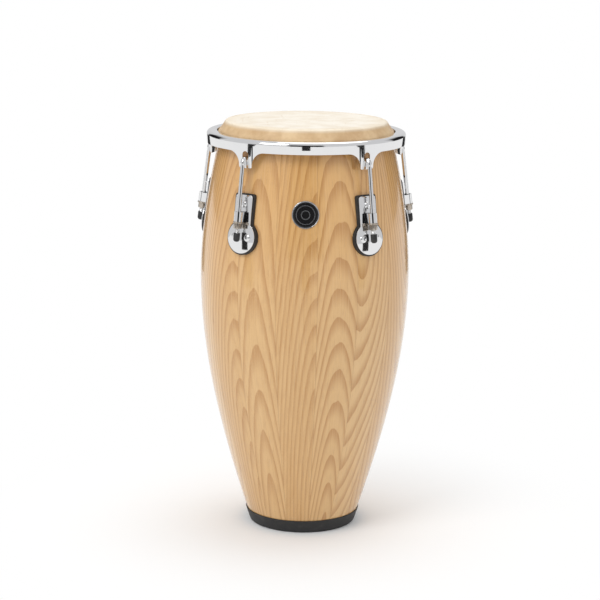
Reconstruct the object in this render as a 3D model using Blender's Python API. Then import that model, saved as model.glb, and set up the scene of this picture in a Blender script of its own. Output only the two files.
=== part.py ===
# Stave conga with an 11 3/4 inch head, 30 inches tall. The drum stands on its foot ring with
# its axis along +Z. Its front, where the badge is, faces -Y. Sizes are in metres.
# The origin is the middle of the drum's footprint, and the rear lug reaches further out than
# the belly does in front, so the drum's axis stands a little in front of the origin.
import math

import bmesh
import bpy
from mathutils import Vector

GAP = 0.0003
SEGMENTS = 48
AXIS_Y = -0.0099

# Shell: staves turned to a barrel, whose outline is set at the foot, belly and neck
STAVES = 16
FIRST_SEAM = math.radians(6.8)
SHELL_WALL = 0.0125
SHELL_FOOT = 0.0053
FOOT_RADIUS = 0.0992
FOOT_SLOPE = 0.331
BELLY_HEIGHT = 0.476
BELLY_RADIUS = 0.1936
NECK_HEIGHT = 0.743
NECK_RADIUS = 0.1564
NECK_SLOPE = -0.235
EDGE_SHOULDER_IN = 0.0084
EDGE_SHOULDER_DROP = 0.0034
EDGE_PEAK_IN = 0.0116

# Rubber ring on the shell's foot
RING_HEIGHT = 0.025
RING_WALL = 0.0015
RING_LIP = 0.0028
RING_LIP_HEIGHT = 0.016
RING_BASE_RADIUS = 0.0965
RING_ROUNDING = 0.004

# Head: skin over the bearing edge, with its flesh hoop and the part wrapped round the hoop
DRUM_HEIGHT = 0.762
SKIN_THICKNESS = 0.002
FLAT_RADIUS = 0.1450
COLLAR_TOP_RADIUS = 0.1498
COLLAR_TOP_DROP = 0.0038
COLLAR_FOOT_RADIUS = 0.1610
COLLAR_FOOT_HEIGHT = 0.743
HOOP_RADIUS = 0.1685
HOOP_TUBE = 0.0045
WRAP_THICKNESS = 0.0015

# Rim: a pressed steel band with a flange over the flesh hoop and an ear at each lug
RIM_INNER_RADIUS = 0.1638
RIM_RADIUS = 0.1835
RIM_STEEL = 0.003
RIM_TOP = 0.743
RIM_SHOULDER = 0.007
BAND_BOTTOM = 0.721
EAR_BOTTOM = 0.6924
EAR_HALF_WIDTH = 0.014
EAR_CORNER = 0.0035
EAR_FILLET = 0.024
SLOT_WIDTH = 0.0125
SLOT_TOP = 0.7225

# Lugs: plates bolted through the shell, with a strap that the threaded rod passes through
LUGS = 5
FIRST_LUG = math.radians(-36)
LUG_HEIGHT = 0.592
PLATE_LENGTH = 0.105
PLATE_THICKNESS = 0.0023
TONGUE_WIDTH = 0.037
TONGUE_CORNER = 0.005
DISC_DIAMETER = 0.0585
GASKET_THICKNESS = 0.0044
GASKET_MARGIN = 0.0025
ROD_DIAMETER = 0.008
ROD_FROM_PLATE = 0.0123
STRAP_DIAMETER = 0.016
STRAP_THICKNESS = 0.0023
STRAP_LENGTH = 0.0174
STRAP_DROP = 0.0305
WASHER_DIAMETER = 0.018
WASHER_THICKNESS = 0.003
NUT_FLATS = 0.013
NUT_LENGTH = 0.009
BORE_CLEARANCE = 0.0004
BARE_THREAD = 0.0075
CAP_DIAMETER = 0.0115
CAP_LENGTH = 0.016
HOOK_RADIUS = 0.0085
HOOK_LEG = 0.006
HOOK_RISE = 0.109
KINK_RADIUS = 0.040
SLIDE_TRAVEL = 0.004

# Bolts: one on the tongue and two on the disc of each plate
TONGUE_BOLT_DROP = 0.0164
DISC_BOLT_OFFSET = 0.014
BOLT_RADIUS = 0.003
BOLT_HEAD_RADIUS = 0.0067
BOLT_HEAD_HEIGHT = 0.0028
BOLT_TURNS = [math.pi / 4 * side for side in range(8)]
BACKING_WIDTH = 0.040
BACKING_MARGIN = 0.012
BACKING_THICKNESS = 0.0025

# Badge: a round metal plate with a raised rim and a dark inlay, bent to the shell
BADGE_HEIGHT = 0.615
BADGE_RADIUS = 0.0245
BADGE_RIM = 0.0018
BADGE_THICKNESS = 0.0009
INLAY_THICKNESS = 0.0006

PLATE_BACK = GASKET_THICKNESS
PLATE_FRONT = PLATE_BACK + PLATE_THICKNESS
ROD_OUT = PLATE_FRONT + ROD_FROM_PLATE
DISC_CENTRE = (DISC_DIAMETER - PLATE_LENGTH) / 2

for leftover in list(bpy.data.objects):
    bpy.data.objects.remove(leftover)


def make_material(name, colour, roughness, metallic):
    material = bpy.data.materials.new(name)
    material.use_nodes = True
    shader = material.node_tree.nodes["Principled BSDF"]
    shader.inputs["Base Color"].default_value = (*colour, 1)
    shader.inputs["Roughness"].default_value = roughness
    shader.inputs["Metallic"].default_value = metallic
    material.diffuse_color = (*colour, 1)
    return material


ASH = make_material("lacquered_ash", (0.62, 0.40, 0.19), 0.25, 0)
RUBBER = make_material("black_rubber", (0.02, 0.02, 0.02), 0.6, 0)
CHROME = make_material("chrome", (0.78, 0.78, 0.78), 0.08, 1)
ZINC = make_material("zinc", (0.55, 0.54, 0.52), 0.35, 1)
SKIN = make_material("raw_hide", (0.80, 0.70, 0.53), 0.5, 0)
STEEL = make_material("hoop_steel", (0.45, 0.45, 0.45), 0.4, 1)
ENAMEL = make_material("black_enamel", (0.01, 0.01, 0.01), 0.3, 0)


def add_object(name, mesh_data, material, origin=Vector((0, 0, 0))):
    """Turns points and faces in drum coordinates into an object placed at origin."""
    points, faces = mesh_data
    bm = bmesh.new()
    vertices = [bm.verts.new(Vector(point) - origin) for point in points]
    for face in faces:
        bm.faces.new([vertices[index] for index in face])
    bmesh.ops.recalc_face_normals(bm, faces=bm.faces)
    mesh = bpy.data.meshes.new(name)
    bm.to_mesh(mesh)
    bm.free()
    mesh.shade_smooth()
    mesh.set_sharp_from_angle(angle=math.radians(35))
    mesh.materials.append(material)
    placed = bpy.data.objects.new(name, mesh)
    placed.location = origin
    bpy.context.collection.objects.link(placed)
    return placed


def join_data(parts):
    """Puts several closed pieces into one set of points and faces."""
    points, faces = [], []
    for part_points, part_faces in parts:
        start = len(points)
        points += part_points
        faces += [[start + index for index in face] for face in part_faces]
    return points, faces


def make_cutter(name, mesh_data):
    cutter = add_object(name, mesh_data, STEEL)
    cutter.hide_render = True
    cutter.display_type = "WIRE"
    return cutter


def apply_boolean(target, tool, operation):
    modifier = target.modifiers.new(operation.lower(), "BOOLEAN")
    modifier.operation = operation
    modifier.solver = "EXACT"
    modifier.object = tool


def around(angle, radius, height):
    """A point by its angle from the front, its radius and its height."""
    return Vector((radius * math.sin(angle), AXIS_Y - radius * math.cos(angle), height))


def radius_of(point):
    """A point's distance from the drum's axis."""
    return math.hypot(point.x, point.y - AXIS_Y)


def skin_rings(rings, closed_loop=True):
    """Faces between rings of equal point count; the rings' ends are capped or joined up."""
    count = len(rings[0])
    points = [point for ring in rings for point in ring]
    faces = []
    for row in range(len(rings) - (0 if closed_loop else 1)):
        after = (row + 1) % len(rings)
        for column in range(count):
            side = (column + 1) % count
            faces.append(
                [row * count + column, row * count + side, after * count + side, after * count + column]
            )
    if not closed_loop:
        faces.append(list(range(count)))
        faces.append([(len(rings) - 1) * count + column for column in range(count)])
    return points, faces


def turned_ring(profile, segments=SEGMENTS, start=FIRST_SEAM):
    """A ring about the drum's axis from a closed outline of (radius, height) points."""
    step = 2 * math.pi / segments
    return skin_rings(
        [[around(start + step * index, radius, height) for radius, height in profile]
         for index in range(segments)]
    )


def hermite(share, span, start, start_slope, end, end_slope):
    """A cubic through start and end values with the given slopes."""
    square, cube = share ** 2, share ** 3
    return (
        (2 * cube - 3 * square + 1) * start
        + (cube - 2 * square + share) * span * start_slope
        + (3 * square - 2 * cube) * end
        + (cube - square) * span * end_slope
    )


def shell_radius(height):
    """The shell's outer radius at a height."""
    if height < BELLY_HEIGHT:
        span = BELLY_HEIGHT - SHELL_FOOT
        share = (height - SHELL_FOOT) / span
        return hermite(share, span, FOOT_RADIUS, FOOT_SLOPE, BELLY_RADIUS, 0)
    span = NECK_HEIGHT - BELLY_HEIGHT
    share = (height - BELLY_HEIGHT) / span
    return hermite(share, span, BELLY_RADIUS, 0, NECK_RADIUS, NECK_SLOPE)


def shell_slope(height):
    step = 0.001
    return (shell_radius(height + step) - shell_radius(height - step)) / (2 * step)


def spread(low, high, steps):
    return [low + (high - low) * index / steps for index in range(steps + 1)]


def stave_profile():
    """A stave's outline in its radial plane, up the outside, over the edge and down inside."""
    lower, upper = 5, 4
    heights = spread(SHELL_FOOT, BELLY_HEIGHT, lower) + spread(BELLY_HEIGHT, NECK_HEIGHT, upper)[1:]
    skin_underside = DRUM_HEIGHT - SKIN_THICKNESS - GAP
    outside = [(shell_radius(height), height) for height in heights]
    edge = [
        (NECK_RADIUS - EDGE_SHOULDER_IN, skin_underside - EDGE_SHOULDER_DROP),
        (NECK_RADIUS - EDGE_PEAK_IN, skin_underside),
        (NECK_RADIUS - SHELL_WALL, skin_underside - EDGE_SHOULDER_DROP / 2),
    ]
    inside = [(radius - SHELL_WALL, height) for radius, height in reversed(outside)]
    return outside + edge + inside


def make_stave(index):
    """One stave: the outline turned through its share, with flat glued sides."""
    share = 2 * math.pi / STAVES
    facets = max(1, round(SEGMENTS / STAVES))
    start = FIRST_SEAM + index * share
    rings = []
    for facet in range(facets + 1):
        angle = start + share * facet / facets
        pull = {0: GAP / 2, facets: -GAP / 2}.get(facet, 0)
        tangent = Vector((math.cos(angle), math.sin(angle), 0))
        rings.append([around(angle, radius, height) + tangent * pull
                      for radius, height in stave_profile()])
    return add_object(f"stave_{index + 1:02d}", skin_rings(rings, closed_loop=False), ASH)


def make_foot_ring():
    foot_in = shell_radius(SHELL_FOOT) - SHELL_WALL - GAP
    lip_top_in = shell_radius(RING_LIP_HEIGHT) - SHELL_WALL - GAP
    base_top = SHELL_FOOT - GAP
    profile = [
        (RING_BASE_RADIUS, 0),
        (RING_BASE_RADIUS + RING_ROUNDING * 0.7, RING_ROUNDING * 0.3),
        (shell_radius(RING_ROUNDING * 1.5) + GAP + RING_WALL, RING_ROUNDING * 1.5),
        (shell_radius(RING_HEIGHT) + GAP + RING_WALL, RING_HEIGHT),
        (shell_radius(RING_HEIGHT) + GAP, RING_HEIGHT),
        (shell_radius(SHELL_FOOT) + GAP, base_top),
        (foot_in, base_top),
        (lip_top_in, RING_LIP_HEIGHT),
        (lip_top_in - RING_LIP, RING_LIP_HEIGHT),
        (foot_in - RING_LIP, 0),
    ]
    return add_object("foot_ring", turned_ring(profile), RUBBER)


def make_head():
    """The playing skin: a flat disc that turns down over the edge into a sloping collar."""
    outside = [
        (FLAT_RADIUS, DRUM_HEIGHT),
        (COLLAR_TOP_RADIUS, DRUM_HEIGHT - COLLAR_TOP_DROP),
        (COLLAR_FOOT_RADIUS, COLLAR_FOOT_HEIGHT),
    ]
    fall = math.atan2(
        DRUM_HEIGHT - COLLAR_TOP_DROP - COLLAR_FOOT_HEIGHT, COLLAR_FOOT_RADIUS - COLLAR_TOP_RADIUS
    )
    inward = Vector((-math.sin(fall), -math.cos(fall))) * SKIN_THICKNESS
    inside = [
        (COLLAR_FOOT_RADIUS + inward.x, COLLAR_FOOT_HEIGHT + inward.y),
        (COLLAR_TOP_RADIUS + inward.x, DRUM_HEIGHT - COLLAR_TOP_DROP + inward.y),
        (FLAT_RADIUS, DRUM_HEIGHT - SKIN_THICKNESS),
    ]
    step = 2 * math.pi / SEGMENTS
    rings = [[around(FIRST_SEAM + step * index, radius, height) for index in range(SEGMENTS)]
             for radius, height in outside + inside]
    return add_object("head_skin", skin_rings(rings, closed_loop=False), SKIN)


def hoop_height():
    """The flesh hoop lies under the rim's flange, with the skin wrapped round it from below."""
    return RIM_TOP - RIM_STEEL - GAP - HOOP_TUBE


def make_flesh_hoop():
    sides = 8
    profile = [
        (HOOP_RADIUS + HOOP_TUBE * math.cos(2 * math.pi * side / sides),
         hoop_height() + HOOP_TUBE * math.sin(2 * math.pi * side / sides))
        for side in range(sides)
    ]
    return add_object("flesh_hoop", turned_ring(profile), STEEL)


def make_skin_wrap():
    """The skin's edge, wrapped from the hoop's inner side under it and up its outer side."""
    turns = [math.radians(angle) for angle in (45, 0, -45, -90, -135, 180, 135)]
    inner = HOOP_TUBE + GAP
    outer = inner + WRAP_THICKNESS
    profile = [(HOOP_RADIUS + outer * math.cos(turn), hoop_height() + outer * math.sin(turn))
               for turn in turns]
    profile += [(HOOP_RADIUS + inner * math.cos(turn), hoop_height() + inner * math.sin(turn))
                for turn in reversed(turns)]
    return add_object("skin_wrap", turned_ring(profile), SKIN)


def ear_edge():
    """Half of the rim's lower edge round one ear: (distance from the ear's middle, height)."""
    fillet_middle = EAR_HALF_WIDTH + EAR_FILLET
    fillet_height = BAND_BOTTOM - EAR_FILLET
    corner_middle = EAR_HALF_WIDTH - EAR_CORNER
    points = [(0, EAR_BOTTOM), (corner_middle, EAR_BOTTOM)]
    for turn in (30, 65):
        points.append((corner_middle + EAR_CORNER * math.sin(math.radians(turn)),
                       EAR_BOTTOM + EAR_CORNER * (1 - math.cos(math.radians(turn)))))
    for turn in (0, 20, 40, 62, 90):
        points.append((fillet_middle - EAR_FILLET * math.cos(math.radians(turn)),
                       fillet_height + EAR_FILLET * math.sin(math.radians(turn))))
    sector_half = math.pi / LUGS * RIM_RADIUS
    points += [(distance, BAND_BOTTOM) for distance in spread(fillet_middle, sector_half, 4)[1:]]
    return points


def hook_middle():
    """Height of the centre of the hook's bend, set by the slot's lower end."""
    return LUG_HEIGHT + HOOK_RISE


def slot_bottom():
    rest_on = math.sqrt((HOOK_RADIUS - ROD_DIAMETER / 2) ** 2 - (RIM_STEEL / 2 + GAP) ** 2)
    return hook_middle() + rest_on - 2 * GAP


def make_rim():
    """Band, shoulder and flange, with its lower edge drawn down into the ears."""
    shoulder = [
        (RIM_RADIUS - RIM_SHOULDER + RIM_SHOULDER * math.sin(math.radians(turn)),
         RIM_TOP - RIM_SHOULDER + RIM_SHOULDER * math.cos(math.radians(turn)))
        for turn in (0, 35, 65, 90)
    ]
    inner_turn = RIM_SHOULDER - RIM_STEEL
    under = [
        (RIM_RADIUS - RIM_STEEL, RIM_TOP - RIM_SHOULDER),
        (RIM_RADIUS - RIM_SHOULDER + inner_turn * 0.7, RIM_TOP - RIM_SHOULDER + inner_turn * 0.7),
        (RIM_RADIUS - RIM_SHOULDER, RIM_TOP - RIM_STEEL),
        (RIM_INNER_RADIUS, RIM_TOP - RIM_STEEL),
    ]
    half = ear_edge()
    edge = [(-distance, height) for distance, height in reversed(half[1:])] + half[:-1]
    rings = []
    for lug in range(LUGS):
        for distance, low in edge:
            angle = lug_angle(lug) + distance / RIM_RADIUS
            profile = [(RIM_INNER_RADIUS, RIM_TOP)] + shoulder
            profile += [(RIM_RADIUS, low), (RIM_RADIUS - RIM_STEEL, low)] + under
            rings.append([around(angle, radius, height) for radius, height in profile])
    rim = add_object("rim", skin_rings(rings), CHROME)
    slots = []
    for lug in range(LUGS):
        outline = slot_outline()
        faces_at = (RIM_RADIUS - 3 * RIM_STEEL, RIM_RADIUS + 2 * RIM_STEEL)
        slots.append(skin_rings(
            [[lug_tangent(lug) * across + around(lug_angle(lug), radius, height)
              for across, height in outline] for radius in faces_at], closed_loop=False))
    apply_boolean(rim, make_cutter("slot_cutter", join_data(slots)), "DIFFERENCE")
    return rim


def slot_outline():
    half = SLOT_WIDTH / 2
    turns = (0, 36, 72, 108, 144, 180)
    upper = [(half * math.cos(math.radians(turn)), SLOT_TOP - half + half * math.sin(math.radians(turn)))
             for turn in turns]
    lower_turns = (180, 225, 270, 315, 360)
    lower = [(half * math.cos(math.radians(turn)),
              slot_bottom() + half + half * math.sin(math.radians(turn))) for turn in lower_turns]
    return upper + lower


def lug_angle(lug):
    return FIRST_LUG + 2 * math.pi * lug / LUGS


def lug_tangent(lug):
    angle = lug_angle(lug)
    return Vector((math.cos(angle), math.sin(angle), 0))


def lug_point(lug, across, up, out):
    """A point in a lug's own frame: across the plate, up along the shell, and out from it."""
    tilt = math.atan(-shell_slope(LUG_HEIGHT))
    radius = shell_radius(LUG_HEIGHT) + out * math.cos(tilt) - up * math.sin(tilt)
    height = LUG_HEIGHT + out * math.sin(tilt) + up * math.cos(tilt)
    return lug_tangent(lug) * across + around(lug_angle(lug), radius, height)


def depth_of_shell(lug, across, up, offset):
    """How far out along the lug's normal the shell's surface lies, moved out by offset."""
    low, high = -0.05, 0.05
    for _ in range(40):
        middle = (low + high) / 2
        point = lug_point(lug, across, up, middle)
        if radius_of(point) < shell_radius(point.z) + offset:
            low = middle
        else:
            high = middle
    return (low + high) / 2


def keyhole_half(margin=0.0):
    """Right half of the plate's outline, from its top edge down round the disc."""
    half_length = PLATE_LENGTH / 2 + margin
    half_tongue = TONGUE_WIDTH / 2 + margin
    corner = TONGUE_CORNER
    disc = DISC_DIAMETER / 2 + margin
    points = [(half_tongue - corner + corner * math.sin(math.radians(turn)),
               half_length - corner + corner * math.cos(math.radians(turn)))
              for turn in (0, 45, 90)]
    meeting = math.asin(half_tongue / disc)
    for turn in spread(meeting, math.radians(165), 7):
        points.append((disc * math.sin(turn), DISC_CENTRE + disc * math.cos(turn)))
    return points


def extrude_in_lug(lug, outline, low, high):
    """A prism from an outline of (across, up) points between two distances out."""
    return skin_rings(
        [[lug_point(lug, across, up, out) for across, up in outline] for out in (low, high)],
        closed_loop=False,
    )


def make_side_plate(lug):
    right = keyhole_half()
    outline = right + [(-across, up) for across, up in reversed(right)]
    origin = lug_point(lug, 0, 0, PLATE_BACK)
    plate = add_object(f"side_plate_{lug + 1}", extrude_in_lug(lug, outline, PLATE_BACK, PLATE_FRONT),
                       CHROME, origin)
    outer = STRAP_DIAMETER / 2
    inner = outer - STRAP_THICKNESS
    root = PLATE_FRONT - PLATE_THICKNESS / 2
    turns = [math.radians(turn) for turn in (0, 36, 72, 108, 144, 180)]
    section = [(outer, root)]
    section += [(outer * math.cos(turn), ROD_OUT + outer * math.sin(turn)) for turn in turns]
    section += [(-outer, root), (-inner, root)]
    section += [(inner * math.cos(turn), ROD_OUT + inner * math.sin(turn)) for turn in reversed(turns)]
    section += [(inner, root)]
    strap = skin_rings(
        [[lug_point(lug, across, up, out) for across, out in section]
         for up in (strap_top(), strap_top() - STRAP_LENGTH)],
        closed_loop=False,
    )
    apply_boolean(plate, make_cutter(f"strap_{lug + 1}", strap), "UNION")
    return plate


def strap_top():
    return PLATE_LENGTH / 2 - STRAP_DROP


def make_gasket(lug):
    """Rubber pad whose face is flat under the plate and whose back follows the shell."""
    columns = (-1, -0.5, 0, 0.5, 1)
    front, back = [], []
    for half_width, up in keyhole_half(GASKET_MARGIN):
        across = [half_width * column for column in columns]
        front.append([lug_point(lug, place, up, PLATE_BACK - GAP) for place in across])
        back.append([lug_point(lug, place, up, depth_of_shell(lug, place, up, GAP)) for place in across])
    count = len(columns)
    rows = len(front)
    points = [point for row in front + back for point in row]
    faces = []
    for row in range(rows - 1):
        for column in range(count - 1):
            for start in (0, rows * count):
                first = start + row * count + column
                faces.append([first, first + 1, first + count + 1, first + count])
        for column in (0, count - 1):
            first = row * count + column
            faces.append([first, first + count, first + count + rows * count, first + rows * count])
    for row in (0, rows - 1):
        for column in range(count - 1):
            first = row * count + column
            faces.append([first, first + 1, first + 1 + rows * count, first + rows * count])
    origin = lug_point(lug, 0, 0, 0)
    return add_object(f"gasket_{lug + 1}", (points, faces), RUBBER, origin)


def along_rod(lug, profile, sides):
    """A piece turned about the rod's line, from (radius, up) points; closed into a ring."""
    rings = []
    for side in range(sides):
        turn = 2 * math.pi * (side + 0.5) / sides
        rings.append([lug_point(lug, radius * math.cos(turn), up, ROD_OUT + radius * math.sin(turn))
                      for radius, up in profile])
    return skin_rings(rings)


def rod_path():
    """The rod's centre line as (radius, height), from its foot to the end of its hook."""
    tilt = math.atan(-shell_slope(LUG_HEIGHT))
    foot = lug_point(0, 0, cap_bottom() + 0.002, ROD_OUT)
    foot_radius = radius_of(foot)
    hook_centre = RIM_RADIUS - RIM_STEEL / 2 - SLIDE_TRAVEL * math.tan(tilt) / 2
    shank = hook_centre + HOOK_RADIUS
    kink_height = foot.z + (foot_radius - shank) / math.tan(tilt)
    reach = KINK_RADIUS * math.tan(tilt / 2)
    path = [(foot_radius, foot.z)]
    for turn in (tilt, tilt / 2, 0):
        path.append((shank + KINK_RADIUS * (1 - math.cos(turn)),
                     kink_height + reach - KINK_RADIUS * math.sin(turn)))
    for turn in range(0, 181, 30):
        path.append((hook_centre + HOOK_RADIUS * math.cos(math.radians(turn)),
                     hook_middle() + HOOK_RADIUS * math.sin(math.radians(turn))))
    path.append((hook_centre - HOOK_RADIUS, hook_middle() - HOOK_LEG))
    return path


def make_tuning_rod(lug):
    """Round rod, bent once below the rim and hooked through the ear from outside."""
    path = [Vector(point) for point in rod_path()]
    sides = 8
    rings = []
    for index, point in enumerate(path):
        before = path[max(index - 1, 0)]
        after = path[min(index + 1, len(path) - 1)]
        heading = (after - before).normalized()
        outward = Vector((heading.y, -heading.x))
        ring = []
        for side in range(sides):
            turn = 2 * math.pi * side / sides
            place = point + outward * (ROD_DIAMETER / 2 * math.cos(turn))
            across = ROD_DIAMETER / 2 * math.sin(turn)
            ring.append(lug_tangent(lug) * across + around(lug_angle(lug), place.x, place.y))
        rings.append(ring)
    origin = lug_point(lug, 0, 0, ROD_OUT)
    return add_object(f"tuning_rod_{lug + 1}", skin_rings(rings, closed_loop=False), CHROME, origin)


def washer_top():
    return strap_top() - STRAP_LENGTH - GAP


def nut_top():
    return washer_top() - WASHER_THICKNESS - GAP


def cap_top():
    return nut_top() - NUT_LENGTH - BARE_THREAD


def cap_bottom():
    return cap_top() - CAP_LENGTH


def make_rod_hardware(lug):
    """Washer, hexagon nut and rubber end cap on the rod's line."""
    bore = ROD_DIAMETER / 2 / math.cos(math.pi / 8) + BORE_CLEARANCE
    origin = lug_point(lug, 0, 0, ROD_OUT)
    washer = [(bore, washer_top()), (WASHER_DIAMETER / 2, washer_top()),
              (WASHER_DIAMETER / 2, washer_top() - WASHER_THICKNESS), (bore, washer_top() - WASHER_THICKNESS)]
    add_object(f"strap_washer_{lug + 1}", along_rod(lug, washer, 10), ZINC, origin)
    corner = NUT_FLATS / 2 / math.cos(math.pi / 6)
    bore_corner = (ROD_DIAMETER / 2 + BORE_CLEARANCE) / math.cos(math.pi / 6)
    nut = [(bore_corner, nut_top()), (corner, nut_top()),
           (corner, nut_top() - NUT_LENGTH), (bore_corner, nut_top() - NUT_LENGTH)]
    add_object(f"tuning_nut_{lug + 1}", along_rod(lug, nut, 6), ZINC, origin)
    radius = CAP_DIAMETER / 2
    shoulder = cap_bottom() + radius * 0.8
    outside = [(radius, cap_top()), (radius, shoulder), (radius * 0.75, cap_bottom() + radius * 0.2),
               (radius * 0.35, cap_bottom())]
    inside = [(bore, cap_bottom() + 0.002 - GAP), (bore, cap_top())]
    sides = 8
    rings = []
    for ring_radius, up in outside[::-1] + inside[::-1]:
        rings.append([lug_point(lug, ring_radius * math.cos(2 * math.pi * side / sides), up,
                                ROD_OUT + ring_radius * math.sin(2 * math.pi * side / sides))
                      for side in range(sides)])
    add_object(f"end_cap_{lug + 1}", skin_rings(rings, closed_loop=False), RUBBER, origin)


def bolt_places():
    return [(0, PLATE_LENGTH / 2 - TONGUE_BOLT_DROP),
            (-DISC_BOLT_OFFSET, DISC_CENTRE), (DISC_BOLT_OFFSET, DISC_CENTRE)]


def bolt_piece(lug, across, up, profile):
    """A piece turned about a bolt's line, from (radius, out) points."""
    rings = []
    for radius, out in profile:
        rings.append([lug_point(lug, across + radius * math.cos(turn),
                                up + radius * math.sin(turn), out) for turn in BOLT_TURNS])
    return skin_rings(rings, closed_loop=False)


def backing_seat(lug):
    """How far out the backing plate's face lies, clear of the shell's inner facets."""
    facet_sag = BELLY_RADIUS * (1 - math.cos(math.pi / SEGMENTS))
    depths = [depth_of_shell(lug, across, up, -SHELL_WALL) for across, up in backing_outline()]
    return min(depths) - facet_sag - GAP


def backing_outline():
    half = BACKING_WIDTH / 2
    top = bolt_places()[0][1] + BACKING_MARGIN
    bottom = DISC_CENTRE - BACKING_MARGIN
    return [(half, bottom), (half, top), (-half, top), (-half, bottom)]


def make_bolt_set(lug):
    """Dome bolts through plate, pad and stave, screwed into one backing plate in the shell."""
    seat = backing_seat(lug)
    far_face = seat - BACKING_THICKNESS
    head = PLATE_FRONT + GAP
    bolts, holes = [], []
    for across, up in bolt_places():
        bolts.append(bolt_piece(lug, across, up, [
            (BOLT_HEAD_RADIUS * 0.3, head + BOLT_HEAD_HEIGHT),
            (BOLT_HEAD_RADIUS * 0.8, head + BOLT_HEAD_HEIGHT * 0.6),
            (BOLT_HEAD_RADIUS, head), (BOLT_RADIUS, head), (BOLT_RADIUS, far_face - BOLT_RADIUS)]))
        holes.append(bolt_piece(lug, across, up, [
            (BOLT_RADIUS + GAP, -2 * SHELL_WALL), (BOLT_RADIUS + GAP, PLATE_FRONT + SHELL_WALL)]))
    backing = add_object(f"plate_bolts_{lug + 1}",
                         extrude_in_lug(lug, backing_outline(), far_face, seat), ZINC,
                         lug_point(lug, 0, 0, 0))
    apply_boolean(backing, make_cutter(f"bolts_{lug + 1}", join_data(bolts)), "UNION")
    return make_cutter(f"bolt_holes_{lug + 1}", join_data(holes))


def badge_disc(rings):
    """A round plate bent to the shell, from (radius, distance out) rings, front to back."""
    sides = 24
    placed = []
    for radius, out in rings:
        ring = []
        for side in range(sides):
            turn = 2 * math.pi * side / sides
            height = BADGE_HEIGHT + radius * math.sin(turn)
            surface = shell_radius(height)
            ring.append(around(radius * math.cos(turn) / surface, surface + out, height))
        placed.append(ring)
    return skin_rings(placed, closed_loop=False)


def make_badge():
    inner = BADGE_RADIUS - BADGE_RIM
    back = GAP
    floor = back + BADGE_THICKNESS - INLAY_THICKNESS / 2
    crown = back + BADGE_THICKNESS + INLAY_THICKNESS
    badge = badge_disc([(inner * 0.1, floor), (inner * 0.55, floor), (inner, floor), (inner, crown),
                        (BADGE_RADIUS - BADGE_RIM / 3, crown), (BADGE_RADIUS, floor),
                        (BADGE_RADIUS, back), (inner * 0.55, back), (inner * 0.1, back)])
    add_object("badge", badge, CHROME)
    edge = inner - GAP
    low = floor + GAP
    high = low + INLAY_THICKNESS
    inlay = badge_disc([(edge * 0.1, high), (edge * 0.55, high), (edge, high), (edge, low),
                        (edge * 0.55, low), (edge * 0.1, low)])
    add_object("badge_inlay", inlay, ENAMEL)


def staves_behind(lug):
    """The staves that a lug's bolts pass through."""
    share = 2 * math.pi / STAVES
    reach = (DISC_BOLT_OFFSET + BOLT_RADIUS) / shell_radius(LUG_HEIGHT)
    angles = (lug_angle(lug) - reach, lug_angle(lug) + reach)
    return {int((angle - FIRST_SEAM) // share) % STAVES for angle in angles}


staves = [make_stave(index) for index in range(STAVES)]
make_foot_ring()
make_head()
make_flesh_hoop()
make_skin_wrap()
make_rim()
make_badge()
for lug_number in range(LUGS):
    bolt_holes = make_bolt_set(lug_number)
    for pierced in (make_side_plate(lug_number), make_gasket(lug_number)):
        apply_boolean(pierced, bolt_holes, "DIFFERENCE")
    for stave_number in staves_behind(lug_number):
        apply_boolean(staves[stave_number], bolt_holes, "DIFFERENCE")
    make_tuning_rod(lug_number)
    make_rod_hardware(lug_number)
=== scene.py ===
import math

import bmesh
import bpy
from mathutils import Euler, Matrix, Vector


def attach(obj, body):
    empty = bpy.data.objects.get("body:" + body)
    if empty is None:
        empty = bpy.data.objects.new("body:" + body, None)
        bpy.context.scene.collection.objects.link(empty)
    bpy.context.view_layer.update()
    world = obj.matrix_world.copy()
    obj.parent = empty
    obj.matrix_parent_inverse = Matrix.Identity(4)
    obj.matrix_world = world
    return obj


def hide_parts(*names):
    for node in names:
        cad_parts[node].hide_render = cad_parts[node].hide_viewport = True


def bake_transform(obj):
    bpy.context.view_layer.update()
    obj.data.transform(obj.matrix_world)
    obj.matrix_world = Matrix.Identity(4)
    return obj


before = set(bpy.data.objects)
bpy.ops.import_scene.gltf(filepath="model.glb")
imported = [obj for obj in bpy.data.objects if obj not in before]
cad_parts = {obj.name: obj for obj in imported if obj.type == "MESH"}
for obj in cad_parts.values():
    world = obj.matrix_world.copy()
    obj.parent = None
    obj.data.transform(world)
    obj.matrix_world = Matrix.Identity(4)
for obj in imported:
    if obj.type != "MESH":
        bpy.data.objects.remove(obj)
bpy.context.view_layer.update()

axisY = -0.0099    # the drum's own axis; the origin is the middle of its footprint
gap = 0.0003       # between two pieces that seat on each other
fullTurn = 2 * math.pi


def around(angle, radius, height):
    # a point by its angle from the front, its distance from the axis and its height
    return Vector((radius * math.sin(angle), axisY - radius * math.cos(angle), height))


def arc(centre, radius, degrees):
    return [(centre[0] + radius * math.cos(math.radians(turn)),
             centre[1] + radius * math.sin(math.radians(turn))) for turn in degrees]


def bend(start, corner, end, steps):
    points = []
    for step in range(steps + 1):
        t = step / steps
        points.append(tuple(start * (1 - t) ** 2 + corner * 2 * t * (1 - t) + end * t ** 2))
    return points


def rounded(corners, steps=5):
    # a closed outline from (x, y, rounding) corners
    mostOfSide = 0.45
    points = []
    for index, (x, y, radius) in enumerate(corners):
        if radius <= 0:
            points.append((x, y))
            continue
        here = Vector((x, y))
        before = Vector(corners[index - 1][:2]) - here
        after = Vector(corners[(index + 1) % len(corners)][:2]) - here
        reach = min(radius / math.tan(before.angle(after) / 2),
                    before.length * mostOfSide, after.length * mostOfSide)
        points += bend(here + before.normalized() * reach, here, here + after.normalized() * reach, steps)
    return points


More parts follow.
